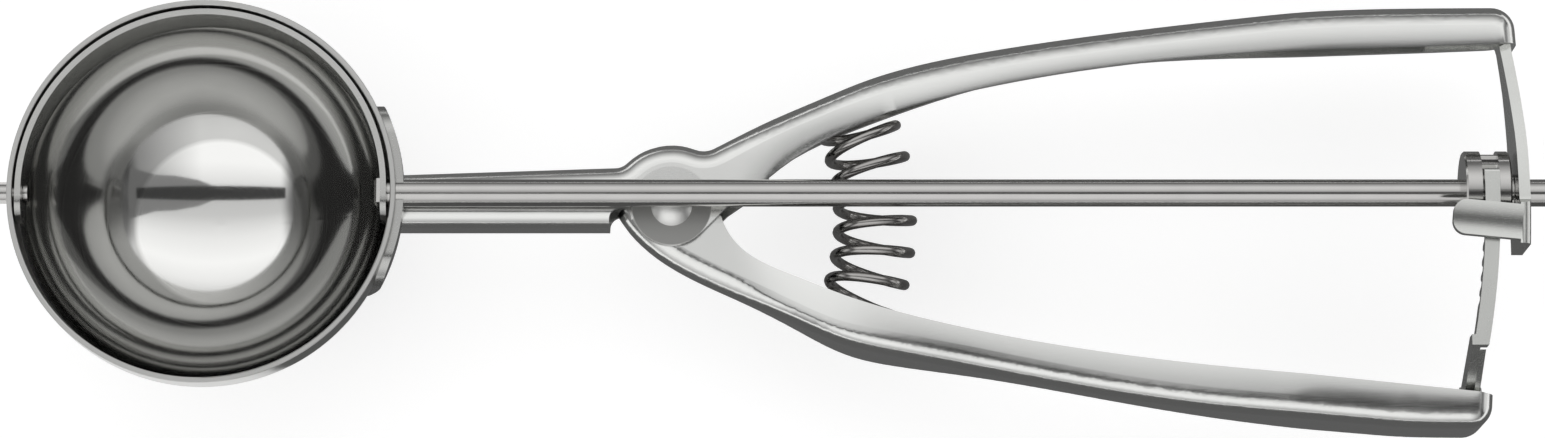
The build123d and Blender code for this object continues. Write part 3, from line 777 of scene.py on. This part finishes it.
def from_nodes(name, tree, inputs):
    """A plain mesh object made by a geometry nodes tree."""
    holder = bpy.data.objects.new(f"{name}_maker", bpy.data.meshes.new(f"{name}_maker"))
    bpy.context.scene.collection.objects.link(holder)
    modifier = holder.modifiers.new("maker", "NODES")
    modifier.node_group = tree
    for item in tree.interface.items_tree:
        if item.in_out == "INPUT":
            modifier[item.identifier] = inputs[item.name]
    bpy.context.view_layer.update()
    evaluated = holder.evaluated_get(bpy.context.evaluated_depsgraph_get())
    mesh = bpy.data.meshes.new_from_object(evaluated)
    holder.modifiers.remove(modifier)
    bpy.data.objects.remove(holder)
    piece = bpy.data.objects.new(name, mesh)
    bpy.context.scene.collection.objects.link(piece)
    return piece


spring = from_nodes(
    "coil_spring",
    spring_tree(),
    {
        "Wire Radius": WIRE_RADIUS * MM,
        "Coil Radius": COIL_RADIUS * MM,
        "Bend Radius": SPRING_BEND * MM,
        "Half Angle": SPRING_HALF_ANGLE,
        "Turns": TURNS,
        "Closed Turns": CLOSED_TURNS,
        "Closed Pitch": CLOSED_PITCH * MM,
        "Middle": (SPRING_MIDDLE[0] * MM, SPRING_MIDDLE[1] * MM, -LEVER_DEPTH * MM),
        "Phase": COIL_PHASE,
        "Wire": wire_steel,
    },
)
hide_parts("return_spring")
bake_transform(spring)

# ---------------------------------------------------------------- camera

TARGET = (0.0815, -0.00377, -SPINDLE_DEPTH * MM)
TILT = math.radians(10.0)
DISTANCE = 0.8
CAMERA_PLACE = (
    TARGET[0],
    TARGET[1] - DISTANCE * math.sin(TILT),
    TARGET[2] + DISTANCE * math.cos(TILT),
)
SENSOR = 36.0
FRAME_WIDTH = 1545  # pixels
FOCAL_LENGTH = 5600  # in the same pixels

lens = bpy.data.cameras.new("camera")
lens.sensor_width = SENSOR
lens.sensor_fit = "HORIZONTAL"
lens.lens = SENSOR * FOCAL_LENGTH / FRAME_WIDTH
lens.clip_start = 0.05
lens.clip_end = 50.0
camera = bpy.data.objects.new("camera", lens)
camera.location = CAMERA_PLACE
camera.rotation_euler = (TILT, 0, 0)
bpy.context.scene.collection.objects.link(camera)
bpy.context.scene.camera = camera
bpy.context.scene.view_settings.view_transform = "Standard"

# ---------------------------------------------------------------- floor, cards, lamp and room

FLOOR_HALF = 10.0
FLOOR_GAP = 0.02  # mm under the bowl
FLOOR_LIFT = 0.66  # what the floor shines where it is looked at, to come out white

# painted reflections: the rail and the flag glow with their shades, standing in for the dark
# camera and its rig
# cards that only reflections show, in metres. Level with the camera: half widths by X of a black
# rail, and of a grey flag behind it
RAIL_HEIGHT = 1.02  # times the camera's place
FLAG_HEIGHT = 1.03
RAIL = [(-0.9, 0.065), (0.9, 0.065)]
FLAG = [(-0.05, 0.05), (0.12, 0.12), (0.35, 0.17), (0.6, 0.2), (1.1, 0.36)]
# painted shade: two glowing boards under the scoop, seen only in reflections, for the floor shaded
# by the scoop
# on the floor: how far two boards reach along X, and each one's shade and its two edges along Y
BOARD_ENDS = (0.012, 0.26)
BOARDS = {
    "shade_board_below_upper": ("upper_shade_card", "#6e6e6e", 0.005, 0.5),
    "shade_board_below_lower": ("lower_shade_card", "#606060", -0.35, 0.005),
}
BOARD_LIFT = 0.05  # mm over the bottom of the bowl

LAMP_SIZE = (1.0, 0.5)
LAMP_PLACE = (0.08, 0.35, 0.8)
LAMP_RADIANCE = 0.08

# brightness of the room by the angle from straight up, in degrees, towards +Y
ROOM = [
    (-180, 0.1),
    (-120, 0.12),
    (-104, 0.3),
    (-90, 0.44),
    (-72, 0.7),
    (-60, 0.96),
    (-50, 1.04),
    (-30, 1.05),
    (-20, 0.9),
    (-4, 0.6),
    (4, 0.64),
    (10, 0.78),
    (18, 0.92),
    (34, 1.06),
    (46, 0.95),
    (58, 0.66),
    (68, 0.48),
    (76, 0.26),
    (90, 0.17),
    (180, 0.14),
]
# where the room changes along X, as shares of a direction, and what it changes to
TENT_END = {"From Min": 0.68, "From Max": 0.8, "To Min": 1.0, "To Max": 0.22}
END_LIGHTS = {"From Min": 0.88, "From Max": 0.95, "To Min": 0.0, "To Max": 0.75}
# its fading towards the lever ends, and how far across, along Y, that reaches
FADE = {"From Min": 0.1, "From Max": 0.68, "To Min": 0.0, "To Max": 0.6}
FADE_SIDE = {"From Min": -0.3, "From Max": -0.1, "To Min": 1.0, "To Max": 0.0}


def flat_panel(name, corners, material):
    """A flat shape in its own XY plane, part of the studio."""
    mesh = bpy.data.meshes.new(name)
    mesh.from_pydata([(x, y, 0) for x, y in corners], [], [tuple(range(len(corners)))])
    mesh.materials.append(material)
    panel = bpy.data.objects.new(name, mesh)
    bpy.context.scene.collection.objects.link(panel)
    return panel


def pale_floor_paint():
    """Matt white board, lifted to white for the camera and for what metal and glass show."""
    material, tree = new_material("pale_floor")
    path = add(tree, "ShaderNodeLightPath").outputs
    shiny = add(
        tree,
        "ShaderNodeMath",
        links={0: path["Is Glossy Ray"], 1: path["Is Transmission Ray"]},
        operation="MAXIMUM",
    )
    seen = add(
        tree,
        "ShaderNodeMath",
        links={0: path["Is Camera Ray"], 1: shiny.outputs[0]},
        operation="MAXIMUM",
    )
    board = add(tree, "ShaderNodeBsdfDiffuse", {"Color": linear("#c8c8c8")})
    glow = add(
        tree, "ShaderNodeEmission", {"Color": linear("#ffffff"), "Strength": FLOOR_LIFT}
    )
    both = add(
        tree, "ShaderNodeAddShader", links={0: board.outputs["BSDF"], 1: glow.outputs["Emission"]}
    )
    mix = add(
        tree,
        "ShaderNodeMixShader",
        links={0: seen.outputs[0], 1: board.outputs["BSDF"], 2: both.outputs["Shader"]},
    )
    add(tree, "ShaderNodeOutputMaterial", links={"Surface": mix.outputs["Shader"]})
    return material


def glowing_card_paint(name, shade):
    """Card that glows with an even shade, whatever lights it: painted light for what reflections
    show.
    """
    material, tree = new_material(name)
    # glows at strength 1 with its shade: a painted reflection, not lit by the lamps
    card = add(tree, "ShaderNodeEmission", {"Color": linear(shade), "Strength": 1.0})
    add(tree, "ShaderNodeOutputMaterial", links={"Surface": card.outputs["Emission"]})
    return material


def reflected_card(name, corners, paint, place, tilt=0.0):
    """A card that only reflections show."""
    card = flat_panel(name, corners, paint)
    card.location = place
    card.rotation_euler = (tilt, 0, 0)
    card.visible_camera = False
    card.visible_diffuse = False
    card.visible_shadow = False


def soft_box():
    """A broad lamp over the upper lever, pointing where the camera does."""
    width, depth = LAMP_SIZE
    lamp = bpy.data.lights.new("soft_box", "AREA")
    lamp.shape = "RECTANGLE"
    lamp.size = width
    lamp.size_y = depth
    lamp.energy = LAMP_RADIANCE * math.pi * width * depth
    holder = bpy.data.objects.new("soft_box", lamp)
    holder.visible_glossy = False
    holder.location = LAMP_PLACE
    way = Vector(TARGET) - Vector(LAMP_PLACE)
    holder.rotation_euler = way.to_track_quat("-Z", "Y").to_euler()
    bpy.context.scene.collection.objects.link(holder)


def soft_room():
    """A tent of soft light overhead, darker towards the horizon, with a light past each end."""
    world = bpy.data.worlds.new("soft_room")
    world.use_nodes = True
    tree = world.node_tree
    tree.nodes.clear()
    way = add(tree, "ShaderNodeTexCoord")
    split = add(tree, "ShaderNodeSeparateXYZ", links={"Vector": way.outputs["Generated"]})
    angle = add(
        tree,
        "ShaderNodeMath",
        links={0: split.outputs["Y"], 1: split.outputs["Z"]},
        operation="ARCTAN2",
    )
    round_x = add(
        tree,
        "ShaderNodeMapRange",
        {"From Min": -math.pi, "From Max": math.pi, "To Min": 0.0, "To Max": 1.0},
        {"Value": angle.outputs[0]},
    )
    ramp = add(tree, "ShaderNodeValToRGB", links={"Fac": round_x.outputs["Result"]})
    ramp.color_ramp.interpolation = "LINEAR"
    stops = ramp.color_ramp.elements
    for degrees, _ in ROOM[1:-1]:
        stops.new((degrees + 180) / 360)
    for stop, (degrees, shade) in zip(stops, ROOM):
        stop.position = (degrees + 180) / 360
        stop.color = (shade, shade, shade, 1.0)

    from_middle = add(tree, "ShaderNodeMath", links={0: split.outputs["X"]}, operation="ABSOLUTE")
    tent_end, end_lights = (
        add(
            tree,
            "ShaderNodeMapRange",
            change,
            {"Value": from_middle.outputs[0]},
            interpolation_type="SMOOTHSTEP",
        )
        for change in (TENT_END, END_LIGHTS)
    )
    fade, side = (
        add(tree, "ShaderNodeMapRange", change, {"Value": split.outputs[axis]})
        for change, axis in ((FADE, "X"), (FADE_SIDE, "Y"))
    )
    faded = add(
        tree,
        "ShaderNodeMath",
        links={0: fade.outputs["Result"], 1: side.outputs["Result"]},
        operation="MULTIPLY",
    )
    kept = add(tree, "ShaderNodeMath", {0: 1.0}, {1: faded.outputs[0]}, operation="SUBTRACT")
    strength = add(
        tree,
        "ShaderNodeMath",
        links={0: kept.outputs[0], 1: tent_end.outputs["Result"]},
        operation="MULTIPLY",
    )
    tent = add(
        tree,
        "ShaderNodeBackground",
        links={"Color": ramp.outputs["Color"], "Strength": strength.outputs[0]},
    )
    ends = add(tree, "ShaderNodeBackground", links={"Strength": end_lights.outputs["Result"]})
    both = add(
        tree,
        "ShaderNodeAddShader",
        links={0: tent.outputs["Background"], 1: ends.outputs["Background"]},
    )
    add(tree, "ShaderNodeOutputWorld", links={"Surface": both.outputs["Shader"]})
    return world


floor_corners = [(x * FLOOR_HALF, y * FLOOR_HALF) for x, y in ((-1, -1), (1, -1), (1, 1), (-1, 1))]
floor = flat_panel("floor", floor_corners, pale_floor_paint())
floor.location = (0, 0, -(LOWEST + FLOOR_GAP) * MM)

# painted reflections of the dark camera: the bar across the bowl and the line along the rod
for name, outline, height, paint in (
    ("camera_rail", RAIL, RAIL_HEIGHT, glowing_card_paint("black_card", "#3c3c3c")),
    ("camera_flag", FLAG, FLAG_HEIGHT, glowing_card_paint("flag_card", "#828282")),
):
    low = [(x, -half) for x, half in outline]
    high = [(x, half) for x, half in reversed(outline)]
    place = (0, CAMERA_PLACE[1] * height, CAMERA_PLACE[2] * height)
    reflected_card(name, low + high, paint, place, TILT)

# painted shade under the scoop, which only reflections show
for name, (card, shade, near, far) in BOARDS.items():
    start, end = BOARD_ENDS
    corners = [(start, near), (end, near), (end, far), (start, far)]
    place = (0, 0, -(LOWEST - BOARD_LIFT) * MM)
    reflected_card(name, corners, glowing_card_paint(card, shade), place)

bpy.context.scene.world = soft_room()
soft_box()
